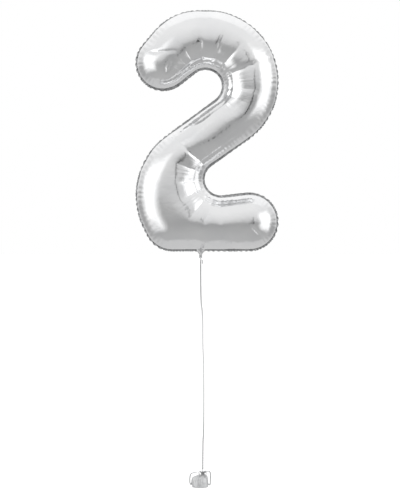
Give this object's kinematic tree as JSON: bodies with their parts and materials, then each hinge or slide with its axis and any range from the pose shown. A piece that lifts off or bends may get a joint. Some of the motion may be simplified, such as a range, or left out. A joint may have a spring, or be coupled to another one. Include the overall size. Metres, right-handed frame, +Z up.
{
  "type": "foil number balloon",
  "caption": "Silver foil balloon shaped as a figure two, blown up and tied by flat ribbon to a foil-wrapped weight with a bow.",
  "frame": {"origin": "centre of the weight's flat base, on the surface it stands on", "axes": "+Z up; +X to the right of a viewer who faces the figure; +Y away from that viewer, through the balloon's depth"},
  "size_m": [0.503, 0.188, 1.675],
  "materials": {
    "silver_foil": "mirror-bright metallised film",
    "valve_film": "clear satin film",
    "curling_ribbon": "satin",
    "bow_ribbon": "metallised gloss",
    "weight_foil": "crinkled metallised foil",
    "cup_plastic": "moulded",
    "iron_slug": "as cast",
    "bright_wire": "drawn wire"
  },
  "bodies": {
    "weight": {"foil_wrap": "weight_foil", "weight_cup": "cup_plastic", "weight_slug": "iron_slug", "weight_lid": "cup_plastic", "wire_eye": "bright_wire", "gather_tie": "bow_ribbon", "bow_loop_right": "bow_ribbon", "bow_loop_rear_right": "bow_ribbon", "bow_loop_rear_left": "bow_ribbon", "bow_loop_left": "bow_ribbon", "bow_loop_front_left": "bow_ribbon", "bow_loop_front_right": "bow_ribbon"},
    "weight_knot": {"weight_knot": "curling_ribbon"},
    "ribbon": {"ribbon": "curling_ribbon"},
    "ribbon_knot": {"ribbon_knot": "curling_ribbon", "ribbon_tag_end": "curling_ribbon"},
    "neck_knot": {"neck_knot": "curling_ribbon"},
    "balloon": {"front_foil_panel": "silver_foil", "back_foil_panel": "silver_foil", "valve_front_film": "valve_film", "valve_back_film": "valve_film", "neck_wraps": "curling_ribbon"}
  },
  "joints": [
    {"name": "lean_fore_aft", "type": "hinge", "parent": "weight", "child": "weight_knot", "pos_m": [0.0098, 0, 0.0562], "axis": [1, 0, 0], "range_deg": [-35, 35], "stiffness_Nm_per_rad": 6},
    {"name": "lean_sideways", "type": "hinge", "parent": "weight_knot", "child": "ribbon", "pos_m": [0.0098, 0, 0.06078], "axis": [0, 1, 0], "range_deg": [-35, 35], "stiffness_Nm_per_rad": 6},
    {"name": "twist", "type": "hinge", "parent": "ribbon", "child": "ribbon_knot", "pos_m": [0.0021, 0, 0.7958], "axis": [0, 0, 1], "continuous": true},
    {"name": "sway", "type": "hinge", "parent": "ribbon_knot", "child": "neck_knot", "pos_m": [0.0021, 0, 0.8016], "axis": [0, 1, 0], "range_deg": [-30, 30], "stiffness_Nm_per_rad": 3},
    {"name": "nod", "type": "hinge", "parent": "neck_knot", "child": "balloon", "pos_m": [0.0021, 0, 0.8016], "axis": [1, 0, 0], "range_deg": [-30, 30], "stiffness_Nm_per_rad": 3}
  ]
}
